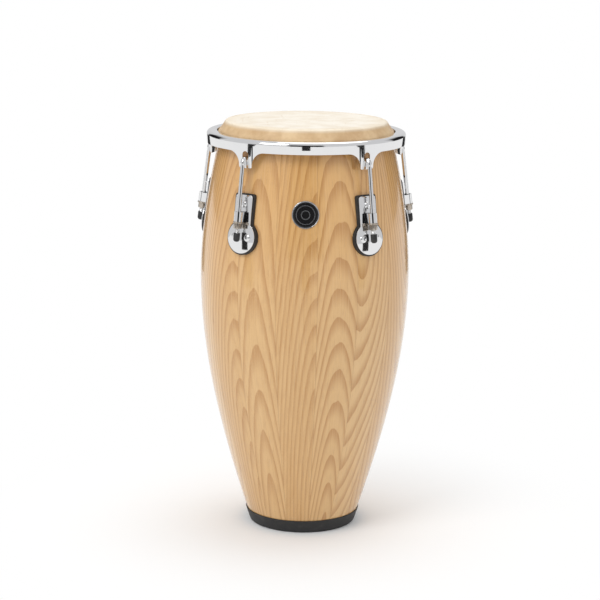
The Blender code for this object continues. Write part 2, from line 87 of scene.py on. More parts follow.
def skinned(rings, looped=True, capped=False):
    # faces between neighbouring rings of points
    count = len(rings[0])
    faces = []
    for row in range(len(rings) - (0 if looped else 1)):
        after = (row + 1) % len(rings)
        for column in range(count):
            side = (column + 1) % count
            faces.append([row * count + column, row * count + side,
                          after * count + side, after * count + column])
    if capped:
        faces.append(list(range(count)))
        faces.append([(len(rings) - 1) * count + column for column in range(count)])
    return [point for ring in rings for point in ring], faces


def joined(parts):
    points, faces = [], []
    for partPoints, partFaces in parts:
        start = len(points)
        points += partPoints
        faces += [[start + index for index in face] for face in partFaces]
    return points, faces


def turned(outline, segments=240):
    return skinned([[around(fullTurn * index / segments, radius, height) for radius, height in outline]
                    for index in range(segments)])


def plainMesh(name, shape):
    points, faces = shape
    bm = bmesh.new()
    corners = [bm.verts.new(point) for point in points]
    for face in faces:
        bm.faces.new([corners[index] for index in face])
    bmesh.ops.recalc_face_normals(bm, faces=bm.faces)
    mesh = bpy.data.meshes.new(name)
    bm.to_mesh(mesh)
    bm.free()
    return mesh


def newPiece(name, mesh, material=None):
    if material:
        mesh.materials.append(material)
    piece = bpy.data.objects.new(name, mesh)
    bpy.context.collection.objects.link(piece)
    return piece


def settle(piece, modifier):
    # what the modifier shows becomes the piece's own plain mesh
    made = bpy.data.meshes.new_from_object(piece.evaluated_get(bpy.context.evaluated_depsgraph_get()))
    piece.modifiers.remove(modifier)
    piece.data = made


def combine(piece, shape, operation):
    tool = newPiece("tool", plainMesh("tool", shape))
    modifier = piece.modifiers.new("cut", "BOOLEAN")
    modifier.operation = operation
    modifier.object = tool
    settle(piece, modifier)
    bpy.data.objects.remove(tool)


def dress(piece, sharp):
    piece.data.shade_smooth()
    piece.data.set_sharp_from_angle(angle=math.radians(sharp))


def mount(piece, body, *nodes):
    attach(piece, body)
    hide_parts(*nodes)


class Value:
    def __init__(self, tree, socket):
        self.tree = tree
        self.socket = socket

    def maths(self, operation, other=None):
        return self.tree.add("ShaderNodeMath", {"operation": operation}, {0: self, 1: other})

    def __add__(self, other):
        return self.maths("ADD", other)

    def __sub__(self, other):
        return self.maths("SUBTRACT", other)

    def __mul__(self, other):
        return self.maths("MULTIPLY", other)

    def __truediv__(self, other):
        return self.maths("DIVIDE", other)

    def __pow__(self, other):
        return self.maths("POWER", other)

    def __rsub__(self, other):
        return self * -1 + other

    __radd__ = __add__
    __rmul__ = __mul__

    def clamped(self):
        return self.tree.add("ShaderNodeClamp", {}, {"Value": self})

    def ramp(self, low, high):
        # 0 at low, 1 at high, smooth between
        return self.tree.add("ShaderNodeMapRange", {"interpolation_type": "SMOOTHSTEP"},
                             {"Value": self, "From Min": low, "From Max": high})


class NodeTree:
    def __init__(self, tree):
        self.nodes = tree.nodes
        self.links = tree.links

    def add(self, kind, settings, inputs, output=0):
        node = self.nodes.new(kind)
        for key, value in settings.items():
            setattr(node, key, value)
        self.fill(node, inputs)
        return Value(self, node.outputs[output])

    def fill(self, node, inputs):
        for key, value in inputs.items():
            if isinstance(value, Value):
                self.links.new(value.socket, node.inputs[key])
            elif value is not None:
                node.inputs[key].default_value = value

    def vector(self, operation, first, second=None):
        return self.add("ShaderNodeVectorMath", {"operation": operation}, {0: first, 1: second})

    def join(self, x, y, z):
        return self.add("ShaderNodeCombineXYZ", {}, {0: x, 1: y, 2: z})

    def split(self, vector):
        parts = self.add("ShaderNodeSeparateXYZ", {}, {0: vector}).socket.node
        return [Value(self, output) for output in parts.outputs]

    def mix(self, factor, first, second):
        return self.add("ShaderNodeMix", {"data_type": "RGBA"}, {0: factor, 6: first, 7: second}, 2)

    def noise(self, vector, scale, detail=3.0, roughness=0.5, distortion=0.0):
        return self.add("ShaderNodeTexNoise", {}, {"Vector": vector, "Scale": scale, "Detail": detail,
                                                   "Roughness": roughness, "Distortion": distortion})

    def place(self, source="Object"):
        return self.add("ShaderNodeTexCoord", {}, {}, source)

    def attribute(self, name):
        return self.add("ShaderNodeAttribute", {"attribute_name": name}, {}, "Fac")


class Shading(NodeTree):
    def __init__(self, name):
        self.material = bpy.data.materials.new(name)
        self.material.use_nodes = True
        super().__init__(self.material.node_tree)
        self.shader = self.nodes["Principled BSDF"]

    def finish(self, bump=None, strength=0.2, distance=0.0005, **sockets):
        names = {"colour": "Base Color", "roughness": "Roughness", "metallic": "Metallic",
                 "coat": "Coat Weight", "coatRoughness": "Coat Roughness"}
        self.fill(self.shader, {names[key]: value for key, value in sockets.items()})
        if bump is not None:
            raised = self.add("ShaderNodeBump", {}, {"Height": bump, "Strength": strength,
                                                     "Distance": distance})
            self.fill(self.shader, {"Normal": raised})
        return self.material


class Making(NodeTree):
    # a Geometry Nodes tree with named inputs; what it makes ends as a plain mesh
    def __init__(self, name, inputs):
        self.group = bpy.data.node_groups.new(name, "GeometryNodeTree")
        super().__init__(self.group)
        sockets = {"Geometry": "Geometry", **inputs, "Material": "Material"}
        for key, kind in sockets.items():
            self.group.interface.new_socket(key, in_out="INPUT", socket_type="NodeSocket" + kind)
        self.group.interface.new_socket("Geometry", in_out="OUTPUT", socket_type="NodeSocketGeometry")
        entry = self.nodes.new("NodeGroupInput")
        self.given = {key: Value(self, entry.outputs[key]) for key in sockets}

    def index(self):
        return self.add("GeometryNodeInputIndex", {}, {})

    def store(self, shape, name, value, kind="FLOAT", domain="POINT"):
        return self.add("GeometryNodeStoreNamedAttribute", {"data_type": kind, "domain": domain},
                        {"Geometry": shape, "Name": name, "Value": value})

    def stored(self, name, kind="FLOAT"):
        return self.add("GeometryNodeInputNamedAttribute", {"data_type": kind}, {"Name": name})

    def close(self, shape):
        whole = self.add("GeometryNodeRealizeInstances", {}, {"Geometry": shape})
        done = self.add("GeometryNodeSetMaterial", {}, {"Geometry": whole,
                                                        "Material": self.given["Material"]})
        self.fill(self.nodes.new("NodeGroupOutput"), {"Geometry": done})

    def shape(self, piece, values):
        modifier = piece.modifiers.new("shape", "NODES")
        modifier.node_group = self.group
        for item in self.group.interface.items_tree:
            if item.in_out == "INPUT" and item.name in values:
                value = values[item.name]
                modifier[item.identifier] = tuple(value) if isinstance(value, (Vector, Euler)) else value
        settle(piece, modifier)


def rgb(red, green, blue):
    # from sRGB bytes to a linear colour
    linear = [((c / 255 + 0.055) / 1.055) ** 2.4 if c > 10 else c / 255 / 12.92
              for c in (red, green, blue)]
    return (*linear, 1)


def fromAxis(x, y):
    return (x * x + (y - axisY) * (y - axisY)) ** 0.5


shellSizes = {"staves": 16, "firstSeam": math.radians(6.8), "wall": 0.0125, "foot": 0.0053,
              "footRadius": 0.0992, "footSlope": 0.331, "bellyHeight": 0.476, "bellyRadius": 0.1936,
              "neckHeight": 0.743, "neckRadius": 0.1564, "neckSlope": -0.235,
              "edgeShoulderIn": 0.0084, "edgeShoulderDrop": 0.0034, "edgePeakIn": 0.0116,
              "edgeFall": 0.0017, "seamWidth": 0.00035, "seamDepth": 0.00018, "seamRadius": 0.19,
              "seamColumns": (0, 0.006, 0.012), "rows": 110, "facets": 14}
ashLook = {"pale": rgb(212, 171, 116), "light": rgb(226, 189, 137), "tan": rgb(199, 152, 92),
           "golden": rgb(214, 158, 88), "goldenFrom": 0.35, "goldenTo": 0.70,
           "lateWood": rgb(172, 118, 60), "pore": rgb(146, 98, 54), "fibre": rgb(232, 198, 148),
           "glue": rgb(120, 78, 42), "ringsPerMetre": 120, "moreRings": 80, "boardShift": 0.09,
           "climb": 0.085, "moreClimb": 0.05, "length": 0.76, "gloss": 0.20, "lacquer": 0.55}


def hermite(share, span, start, startSlope, end, endSlope):
    square = share ** 2
    cube = share ** 3
    return ((2 * cube - 3 * square + 1) * start + (cube - 2 * square + share) * span * startSlope
            + (3 * square - 2 * cube) * end + (cube - square) * span * endSlope)


def shellRadius(height):
    s = shellSizes
    if height < s["bellyHeight"]:
        span = s["bellyHeight"] - s["foot"]
        return hermite((height - s["foot"]) / span, span, s["footRadius"], s["footSlope"],
                       s["bellyRadius"], 0)
    span = s["neckHeight"] - s["bellyHeight"]
    return hermite((height - s["bellyHeight"]) / span, span, s["bellyRadius"], 0,
                   s["neckRadius"], s["neckSlope"])


def shellSlope(height, step=0.001):
    return (shellRadius(height + step) - shellRadius(height - step)) / (2 * step)


def lacqueredAsh():
    look = ashLook
    wood = Shading("lacqueredAsh")
    u, v = wood.split(wood.place("UV"))[:2]
    number = wood.attribute("staveNumber")
    first, second, third = [wood.add("ShaderNodeTexWhiteNoise", {"noise_dimensions": "1D"},
                                     {"W": number + shift}) for shift in (0, 31.7, 57.3)]
    # a board is a slice of a log, and climbs through its rings one way, up or down by the stave
    wander = wood.noise(wood.join(u * 6, v * 1.6, number * 3.1), 1.0, 2.0) - 0.5
    flip = third.ramp(0.64, 0.66)
    along = v + (look["length"] - v * 2) * flip + 0.05 + second * 0.06
    depth = along * (look["climb"] + third * look["moreClimb"]) + wander * 0.03
    sideways = u - (first - 0.5) * look["boardShift"] + wander * 0.012
    fromPith = (sideways * sideways + depth * depth + 0.00002) ** 0.5
    warp = wood.noise(wood.join(u * 40, v * 5, number * 7.7), 1.0, 3.0) - 0.5
    perMetre = look["ringsPerMetre"] + second * look["moreRings"]
    ring = ((fromPith + warp * 0.0035) * perMetre).maths("FRACT")
    lateWood = ring.ramp(0.35, 0.97) * (1 - ring.ramp(0.97, 1.0))
    pores = wood.noise(wood.join(u * 1500, v * 38, number * 5.3), 1.0, 2.0, 0.6).ramp(0.54, 0.70)
    fibre = wood.noise(wood.join(u * 420, v * 7, number * 2.3), 1.0, 3.0, 0.6)
    cloud = wood.noise(wood.join(u * 12, v * 2.2, number * 9.1), 1.0, 2.0)
    base = wood.mix(cloud, look["pale"], look["light"])
    base = wood.mix(first * 0.45, base, look["tan"])
    base = wood.mix(v.ramp(look["goldenFrom"], look["goldenTo"]) * 0.45, base, look["golden"])
    base = wood.mix(lateWood * 0.72, base, look["lateWood"])
    base = wood.mix(pores * (0.18 + (1 - lateWood) * 0.28), base, look["pore"])
    base = wood.mix(fibre.ramp(0.35, 0.75) * 0.22, base, look["fibre"])
    base = wood.mix(wood.attribute("seam") * 0.5, base, look["glue"])
    return wood.finish(colour=base, roughness=look["gloss"] + pores * 0.10 + cloud * 0.05,
                       coat=look["lacquer"], coatRoughness=0.06,
                       bump=(1 - pores) * 0.5 + lateWood * 0.2, strength=0.10, distance=0.0002)


def staveRing():
    # sets one stave round the axis, and numbers each copy
    ring = Making("staveRing", {"Staves": "Int", "Turn": "Float", "Axis": "Vector"})
    places = ring.add("GeometryNodeMeshLine", {}, {"Count": ring.given["Staves"], "Offset": (0, 0, 0),
                                                   "Start Location": ring.given["Axis"]})
    copies = ring.add("GeometryNodeInstanceOnPoints", {},
                      {"Points": places, "Instance": ring.given["Geometry"],
                       "Rotation": ring.join(0, 0, ring.index() * ring.given["Turn"])})
    ring.close(ring.store(copies, "staveNumber", ring.index(), domain="INSTANCE"))
    return ring


def staveOutline():
    # (radius, height) round a stave's section, from the foot up the outside
    s = shellSizes
    heights = [s["foot"] + (s["neckHeight"] - s["foot"]) * row / s["rows"] for row in range(s["rows"] + 1)]
    under = headSizes["top"] - headSizes["thickness"] - gap
    neck = s["neckRadius"]
    edge = rounded([(neck, s["neckHeight"], 0),
                    (neck - s["edgeShoulderIn"], under - s["edgeShoulderDrop"], 0.004),
                    (neck - s["edgePeakIn"], under, 0.003),
                    (neck - s["wall"], under - s["edgeFall"], 0)])
    outside = [(shellRadius(height), height) for height in heights]
    inside = [(radius - s["wall"], height) for radius, height in reversed(outside)]
    return outside + edge[1:-1] + inside, len(outside)


def buildShell():
    s = shellSizes
    share = fullTurn / s["staves"]
    outline, outerCount = staveOutline()
    nearSeam = s["seamColumns"]
    spread = nearSeam[-1]
    columns = [*nearSeam,
               *[spread + (1 - 2 * spread) * k / s["facets"] for k in range(1, s["facets"])],
               *[1 - column for column in reversed(nearSeam)]]
    rings, grain, seam = [], [], []
    axis = Vector((0, axisY, 0))
    for column in columns:
        fromSeam = min(column, 1 - column) * share * s["seamRadius"]
        sunk = s["seamDepth"] * max(0, 1 - fromSeam / s["seamWidth"])
        ring = []
        for index, (radius, height) in enumerate(outline):
            outward = radius - (sunk if index <= outerCount else 0)
            ring.append(around(s["firstSeam"] + share * column, outward, height) - axis)
            grain.append(((column - 0.5) * share * radius, height))
            seam.append(1.0 if fromSeam < s["seamWidth"] else 0.0)
        rings.append(ring)
    mesh = plainMesh("stave", skinned(rings, looped=False, capped=True))
    layer = mesh.uv_layers.new(name="grain")
    for loop in mesh.loops:
        layer.data[loop.index].uv = grain[loop.vertex_index]
    mesh.attributes.new("seam", "FLOAT", "POINT").data.foreach_set("value", seam)
    shell = newPiece("staveShell", mesh)
    staveRing().shape(shell, {"Staves": s["staves"], "Turn": share, "Axis": axis,
                              "Material": lacqueredAsh()})
    shell.data.uv_layers["grain"].active_render = True
    dress(shell, 30)
    mount(shell, "root", *[f"stave_{index + 1:02d}" for index in range(s["staves"])])
    print("shell: staves", s["staves"])


footSizes = {"top": 0.025, "wall": 0.0015, "lip": 0.0028, "lipHeight": 0.016,
             "baseRadius": 0.0965, "toeRadius": 0.0993, "toeHeight": 0.0012, "heelHeight": 0.006}


def blackRubber():
    rubber = Shading("blackRubber")
    grain = rubber.noise(rubber.place(), 1400.0, 3.0)
    dust = rubber.noise(rubber.place(), 45.0, 4.0, 0.65)
    colour = rubber.mix(dust.ramp(0.45, 0.8), rgb(34, 34, 35), rgb(60, 58, 56))
    return rubber.finish(colour=colour, roughness=0.48 + dust * 0.2, bump=grain, strength=0.25,
                         distance=0.0001)


def buildFootRing(rubber):
    f = footSizes
    foot = shellSizes["foot"]
    wall = shellSizes["wall"]
    seat = foot - gap
    footIn = shellRadius(foot) - wall - gap
    lipIn = shellRadius(f["lipHeight"]) - wall - gap
    outline = rounded([(f["baseRadius"], 0, 0.003), (f["toeRadius"], f["toeHeight"], 0.003),
                       (shellRadius(f["heelHeight"]) + gap + f["wall"], f["heelHeight"], 0.003),
                       (shellRadius(f["top"]) + gap + f["wall"], f["top"], 0.0008),
                       (shellRadius(f["top"]) + gap, f["top"], 0),
                       (shellRadius(foot) + gap, seat, 0), (footIn, seat, 0),
                       (lipIn, f["lipHeight"], 0), (lipIn - f["lip"], f["lipHeight"], 0.001),
                       (footIn - f["lip"], 0, 0.001)])
    ring = newPiece("footRing", plainMesh("footRing", turned(outline)), rubber)
    dress(ring, 45)
    mount(ring, "root", "foot_ring")
    print("foot ring")


headSizes = {"top": 0.762, "thickness": 0.002, "flat": 0.1450, "collarTop": 0.1498,
             "collarTopDrop": 0.0038, "collarFoot": 0.1610, "collarFootHeight": 0.743,
             "collarSag": 0.0006, "ripple": 0.0002, "ringStep": 0.02, "lastRing": 0.135,
             "hoopRadius": 0.1685, "hoopTube": 0.0045, "wrap": 0.0015, "tuck": 0.003, "segments": 240}


def rawHide():
    hide = Shading("rawHide")
    place = hide.place()
    x, y, z = hide.split(place)
    spread = fromAxis(x, y)
    mottle = hide.noise(place, 26.0, 5.0, 0.6)
    veins = hide.noise(hide.vector("MULTIPLY", place, (60, 14, 60)), 1.0, 4.0, 0.6, 1.2)
    fine = hide.noise(place, 900.0, 3.0)
    colour = hide.mix(mottle.ramp(0.3, 0.75), rgb(238, 231, 218), rgb(225, 213, 193))
    colour = hide.mix(veins.ramp(0.56, 0.72) * 0.35, colour, rgb(205, 184, 150))
    colour = hide.mix(spread.ramp(0.120, 0.149) * 0.35, colour, rgb(222, 203, 170))
    # the collar is darker than the flat
    collar = spread.ramp(0.1475, 0.1525)
    stretched = hide.mix(mottle.ramp(0.3, 0.7), rgb(214, 181, 132), rgb(186, 146, 96))
    colour = hide.mix(collar * 0.85, colour, stretched)
    return hide.finish(colour=colour, roughness=0.42 + mottle * 0.15 - collar * 0.06,
                       bump=fine * 0.4 + veins, strength=0.12, distance=0.0004)


def hidePath():
    # (radius, height) from the middle of the head to the end of the wrap
    h = headSizes
    top = h["top"]
    slopeTop = top - h["collarTopDrop"]
    hoopHeight = rimSizes["top"] - rimSizes["steel"] - gap - h["hoopTube"]
    path = [(h["ringStep"] * k, top - h["ripple"] * (k % 2)) for k in range(1, 7)]
    path += [(h["lastRing"], top), (h["flat"] - 0.002, top - 0.0001)]
    path += bend(Vector((h["flat"], top - 0.0004)), Vector((h["collarTop"] - 0.0012, top - 0.0008)),
                 Vector((h["collarTop"] + 0.0006, slopeTop - 0.0008)), 6)
    for step in range(1, 7):
        t = step / 6
        sag = h["collarSag"] * math.sin(math.pi * t)
        path.append((h["collarTop"] + (h["collarFoot"] - h["collarTop"]) * t - sag,
                     slopeTop - (slopeTop - h["collarFootHeight"]) * t))
    path.append((h["collarFoot"] + 0.0004, h["collarFootHeight"] - h["tuck"]))
    roundHoop = h["hoopTube"] + gap + h["wrap"] / 2
    return path + arc((h["hoopRadius"], hoopHeight), roundHoop, range(180, 405, 15))


def buildHead():
    h = headSizes
    path = hidePath()
    upper, lower = [], []
    for index, (radius, height) in enumerate(path):
        heading = Vector(path[min(index + 1, len(path) - 1)]) - Vector(path[max(index - 1, 0)])
        heading.normalize()
        normal = Vector((-heading.y, heading.x))
        here = Vector((radius, height))
        thick = h["thickness"] if radius < h["collarFoot"] else h["wrap"]
        isTucked = radius >= h["collarFoot"] and height < h["collarFootHeight"] - 0.001
        above = thick / 2 if isTucked else 0
        upper.append(here + normal * above)
        lower.append(here - normal * (thick - above))
    rings = [[around(fullTurn * index / h["segments"], radius, height) for index in range(h["segments"])]
             for radius, height in upper + lower[::-1]]
    hide = newPiece("playingHide", plainMesh("playingHide", skinned(rings, looped=False, capped=True)),
                    rawHide())
    dress(hide, 50)
    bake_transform(hide)
    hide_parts("head_skin", "skin_wrap")
    print("head")


rimSizes = {"inner": 0.1638, "radius": 0.1835, "steel": 0.003, "top": 0.743, "shoulder": 0.007,
            "bandBottom": 0.721, "earBottom": 0.6924, "earHalf": 0.014, "earCorner": 0.0035,
            "fillet": 0.024, "slotWidth": 0.0125, "slotTop": 0.7225, "edgeRound": 0.0006,
            "slotIn": 0.009, "slotOut": 0.006}
chromeLook = {"tone": 0.80, "badgeTone": 0.62, "roughness": 0.045, "haze": 0.03}


def polishedChrome(name, tone):
    metal = Shading(name)
    haze = metal.noise(metal.place(), 35.0, 4.0)
    hairlines = metal.noise(metal.vector("MULTIPLY", metal.place(), (60, 60, 900)), 1.0, 2.0)
    colour = metal.mix(haze, (tone, tone, tone, 1), (tone * 0.95, tone * 0.955, tone * 0.965, 1))
    return metal.finish(colour=colour, metallic=1.0,
                        roughness=chromeLook["roughness"] + haze * chromeLook["haze"],
                        bump=hairlines * 0.3 + haze, strength=0.012, distance=0.0003)


def earEdge():
    # (distance, height) of the rim's lower edge, from an ear's middle to halfway to the next
    r = rimSizes
    filletMiddle = r["earHalf"] + r["fillet"]
    cornerMiddle = r["earHalf"] - r["earCorner"]
    points = [(0, r["earBottom"]), (cornerMiddle * 0.5, r["earBottom"]), (cornerMiddle, r["earBottom"])]
    points += arc((cornerMiddle, r["earBottom"] + r["earCorner"]), r["earCorner"], range(-78, -17, 12))
    points += arc((filletMiddle, r["bandBottom"] - r["fillet"]), r["fillet"], range(180, 89, -6))
    half = math.pi / lugSizes["count"] * r["radius"]
    return points + [(filletMiddle + (half - filletMiddle) * k / 16, r["bandBottom"]) for k in range(1, 17)]


def slotBottom():
    # where the hook's round bar rests on the slot's lower end
    s = lugSizes
    hookInside = s["hook"] - s["rod"] / 2
    resting = math.sqrt(hookInside ** 2 - (rimSizes["steel"] / 2 + gap) ** 2)
    return s["height"] + s["hookRise"] + resting - 2 * gap


def buildRim(chrome):
    r = rimSizes
    small = r["edgeRound"]
    inner, radius, top = r["inner"], r["radius"], r["top"]
    within = radius - r["steel"]
    centre = (radius - r["shoulder"], top - r["shoulder"])
    above = [(inner, top - small), (inner + small * 0.3, top - small * 0.3), (inner + small, top),
             *arc(centre, r["shoulder"], range(90, -1, -10))]
    below = [*arc(centre, r["shoulder"] - r["steel"], range(0, 91, 15)),
             (inner + small, top - r["steel"]), (inner, top - r["steel"] + small)]
    half = earEdge()
    edge = [(-distance, height) for distance, height in reversed(half[1:])] + half[:-1]
    rings, slots = [], []
    for lug in range(lugSizes["count"]):
        for distance, low in edge:
            lip = [(radius, low + small), (radius - small * 0.3, low + small * 0.3), (radius - small, low),
                   (within + small, low), (within, low + small)]
            angle = lugAngle(lug) + distance / radius
            rings.append([around(angle, *point) for point in above + lip + below])
    width = r["slotWidth"] / 2
    outline = arc((0, r["slotTop"] - width), width, range(0, 181, 15))
    outline += arc((0, slotBottom() + width), width, range(180, 361, 15))
    for lug in range(lugSizes["count"]):
        slots.append(skinned([[lugTangent(lug) * across + around(lugAngle(lug), reach, height)
                               for across, height in outline]
                              for reach in (radius - r["slotIn"], radius + r["slotOut"])],
                             looped=False, capped=True))
    rim = newPiece("tensionRim", plainMesh("tensionRim", skinned(rings)), chrome)
    combine(rim, joined(slots), "DIFFERENCE")
    dress(rim, 40)
    mount(rim, "rim_body", "rim")
    print("rim")


badgeSizes = {"height": 0.615, "radius": 0.0245, "rim": 0.0018, "thickness": 0.0009, "inlay": 0.0006,
              "outerMark": 0.0165, "innerMark": 0.0075, "segments": 72, "rings": 8}


def blackEnamel():
    enamel = Shading("blackEnamel")
    place = enamel.place()
    x, y, z = enamel.split(place)
    height = z - badgeSizes["height"]
    spread = (x * x + height * height) ** 0.5
    fleck = enamel.noise(place, 1800.0, 2.0)
    # two plain pressed rings
    outer = 1 - (spread - badgeSizes["outerMark"]).maths("ABSOLUTE").ramp(0.0004, 0.0006)
    inner = 1 - (spread - badgeSizes["innerMark"]).maths("ABSOLUTE").ramp(0.0006, 0.0008)
    mark = (outer + inner).clamped()
    colour = enamel.mix(fleck, rgb(14, 14, 15), rgb(22, 22, 23))
    colour = enamel.mix(mark, colour, rgb(150, 152, 154))
    return enamel.finish(colour=colour, roughness=0.22 + fleck * 0.08, metallic=mark * 0.8,
                         bump=mark, strength=0.2, distance=0.0001)


def onShell(rings):
    # rings of (radius, distance out) about the badge's middle, bent to the shell
    b = badgeSizes
    placed = []
    for radius, out in rings:
        ring = []
        for k in range(b["segments"]):
            turn = fullTurn * k / b["segments"]
            height = b["height"] + radius * math.sin(turn)
            bare = shellRadius(height)
            ring.append(around(radius * math.cos(turn) / bare, bare + out, height))
        placed.append(ring)
    return skinned(placed, looped=False, capped=True)


def buildBadge(metal):
    b = badgeSizes
    radius = b["radius"]
    inner = radius - b["rim"]
    floor = gap + b["thickness"] - b["inlay"] / 2
    crown = gap + b["thickness"] + b["inlay"]
    filled = [inner * k / b["rings"] for k in range(1, b["rings"])]
    plate = [*[(r, floor) for r in filled], (inner, floor), (inner, crown - 0.0002),
             (inner + 0.0003, crown), (radius - 0.0007, crown), (radius - 0.0002, crown - 0.0004),
             (radius, floor), (radius, gap), *[(r, gap) for r in reversed(filled)]]
    edge = inner - gap
    low = floor + gap
    high = low + b["inlay"]
    inlay = [*[(r * edge / inner, high) for r in filled], (edge - 0.0003, high), (edge, high - 0.0002),
             (edge, low), *[(r * edge / inner, low) for r in reversed(filled)]]
    for name, rings, material, slot, node in (
            ("badgePlate", plate, metal, "badge_metal", "badge"),
            ("badgeInlay", inlay, blackEnamel(), "enamel", "badge_inlay")):
        piece = newPiece(name, plainMesh(name, onShell(rings)), material)
        dress(piece, 40)
        mount(piece, "root", node)
    print("badge")


lugSizes = {"count": 5, "first": math.radians(-36), "height": 0.592, "plateLength": 0.105,
            "plateThickness": 0.0023, "plateRound": 0.0004, "tongue": 0.037, "corner": 0.005,
            "disc": 0.0585, "pad": 0.0044, "padMargin": 0.0025, "rod": 0.008, "rodOut": 0.0123,
            "strap": 0.016, "strapWall": 0.0023, "strapLength": 0.0174, "strapDrop": 0.0305,
            "washer": 0.018, "washerThickness": 0.003, "nutFlats": 0.013, "nutLength": 0.009,
            "bare": 0.0075, "cap": 0.0115, "capLength": 0.016, "bore": 0.0043, "hook": 0.0085,
            "hookRise": 0.109, "hookLeg": 0.006, "kink": 0.040, "travel": 0.004}
boltSizes = {"count": 3, "drop": 0.0164, "side": 0.014, "head": 0.0067, "headHeight": 0.0028,
             "shank": 0.003, "shankLength": 0.012, "sides": 28, "backingHalf": 0.02,
             "backingCorner": 0.005, "backingMargin": 0.012, "backing": 0.0025}
threadSizes = {"pitch": 0.00125, "depth": 0.0006, "above": 0.004, "sides": 20, "steps": 300}

plateFront = lugSizes["pad"] + lugSizes["plateThickness"]
rodOut = plateFront + lugSizes["rodOut"]
discUp = (lugSizes["disc"] - lugSizes["plateLength"]) / 2
upperBolt = lugSizes["plateLength"] / 2 - boltSizes["drop"]
strapTop = lugSizes["plateLength"] / 2 - lugSizes["strapDrop"]
washerTop = strapTop - lugSizes["strapLength"] - gap
nutTop = washerTop - lugSizes["washerThickness"] - gap
capTop = nutTop - lugSizes["nutLength"] - lugSizes["bare"]
capBottom = capTop - lugSizes["capLength"]
rodFoot = capBottom + 0.002
tilt = math.atan(-shellSlope(lugSizes["height"]))


def zincPlate():
    metal = Shading("zincPlate")
    grain = metal.noise(metal.place(), 900.0, 3.0)
    patch = metal.noise(metal.place(), 120.0, 2.0)
    colour = metal.mix(patch, rgb(172, 160, 146), rgb(205, 196, 184))
    return metal.finish(colour=colour, metallic=1.0, roughness=0.24 + grain * 0.12,
                        bump=grain, strength=0.06, distance=0.0001)


def lugAngle(lug):
    return lugSizes["first"] + fullTurn * lug / lugSizes["count"]


def lugTangent(lug):
    return Vector((math.cos(lugAngle(lug)), math.sin(lugAngle(lug)), 0))


def lugPoint(lug, across, up, out):
    # a point from the shell's surface at the lug: along it, up it and out from it
    radius = shellRadius(lugSizes["height"]) + out * math.cos(tilt) - up * math.sin(tilt)
    height = lugSizes["height"] + out * math.sin(tilt) + up * math.cos(tilt)
    return lugTangent(lug) * across + around(lugAngle(lug), radius, height)


def lugTurn(lug):
    # the turn from the world's axes to the lug's across, up and out
    middle = lugPoint(lug, 0, 0, 0)
    sides = [lugPoint(lug, *side) - middle for side in ((1, 0, 0), (0, 1, 0), (0, 0, 1))]
    return Matrix(sides).transposed().to_euler()


def depthAt(lug, across, up, offset):
    # how far out the shell's surface, moved by the offset, lies at a place on the lug
    low = -0.05
    high = 0.05
    for _ in range(30):
        middle = (low + high) / 2
        point = lugPoint(lug, across, up, middle)
        if math.hypot(point.x, point.y - axisY) < shellRadius(point.z) + offset:
            low = middle
        else:
            high = middle
    return low


def keyholeHalf(margin=0.0, steps=26):
    s = lugSizes
    halfLength = s["plateLength"] / 2 + margin
    halfTongue = s["tongue"] / 2 + margin
    disc = s["disc"] / 2 + margin
    points = arc((halfTongue - s["corner"], halfLength - s["corner"]), s["corner"], range(90, -1, -15))
    start = math.asin(halfTongue / disc)
    end = math.radians(176)
    for step in range(steps + 1):
        turn = start + (end - start) * step / steps
        points.append((disc * math.sin(turn), discUp + disc * math.cos(turn)))
    return points


def buildPlate(lug, chrome):
    s = lugSizes
    right = keyholeHalf()
    outline = right + [(-across, up) for across, up in reversed(right)]
    small = s["plateRound"]
    centre = Vector((0, discUp * 0.4))

    def inset(amount, out):
        return [lugPoint(lug, *(Vector(p) + (centre - Vector(p)).normalized() * amount), out)
                for p in outline]

    rings = [inset(small, s["pad"]), inset(0, s["pad"] + small), inset(0, plateFront - small),
             inset(small * 0.3, plateFront - small * 0.3), inset(small, plateFront)]
    outer = s["strap"] / 2
    inner = outer - s["strapWall"]
    sunk = plateFront - 0.001
    section = [(outer, sunk), *arc((0, rodOut), outer, range(0, 181, 10)), (-outer, sunk),
               (-inner, sunk), *arc((0, rodOut), inner, range(180, -1, -10)), (inner, sunk)]
    strap = [[lugPoint(lug, across, up, out) for across, out in section]
             for up in (strapTop, strapTop - s["strapLength"])]
    name = f"sidePlate{lug + 1}"
    plate = newPiece(name, plainMesh(name, skinned(rings, looped=False, capped=True)), chrome)
    combine(plate, skinned(strap, looped=False, capped=True), "UNION")
    dress(plate, 40)
    mount(plate, "root", f"side_plate_{lug + 1}")


def buildPad(lug, rubber):
    # flat in front, hollowed behind to the round shell
    s = lugSizes
    columns = [-1 + k / 6 for k in range(13)]
    front, back = [], []
    for halfWidth, up in keyholeHalf(s["padMargin"]):
        spots = [halfWidth * column for column in columns]
        front.append([lugPoint(lug, across, up, s["pad"] - gap) for across in spots])
        back.append([lugPoint(lug, across, up, depthAt(lug, across, up, 0.0001)) for across in spots])
    count = len(columns)
    rows = len(front)
    behind = rows * count
    faces = []
    for row in range(rows - 1):
        for first in range(row * count, row * count + count - 1):
            for start in (first, first + behind):
                faces.append([start, start + 1, start + count + 1, start + count])
        for first in (row * count, row * count + count - 1):
            faces.append([first, first + count, first + count + behind, first + behind])
    for first in [*range(count - 1), *range(behind - count, behind - 1)]:
        faces.append([first, first + 1, first + 1 + behind, first + behind])
    name = f"rubberPad{lug + 1}"
    points = [point for row in front + back for point in row]
    pad = newPiece(name, plainMesh(name, (points, faces)), rubber)
    dress(pad, 50)
    mount(pad, "root", f"gasket_{lug + 1}")


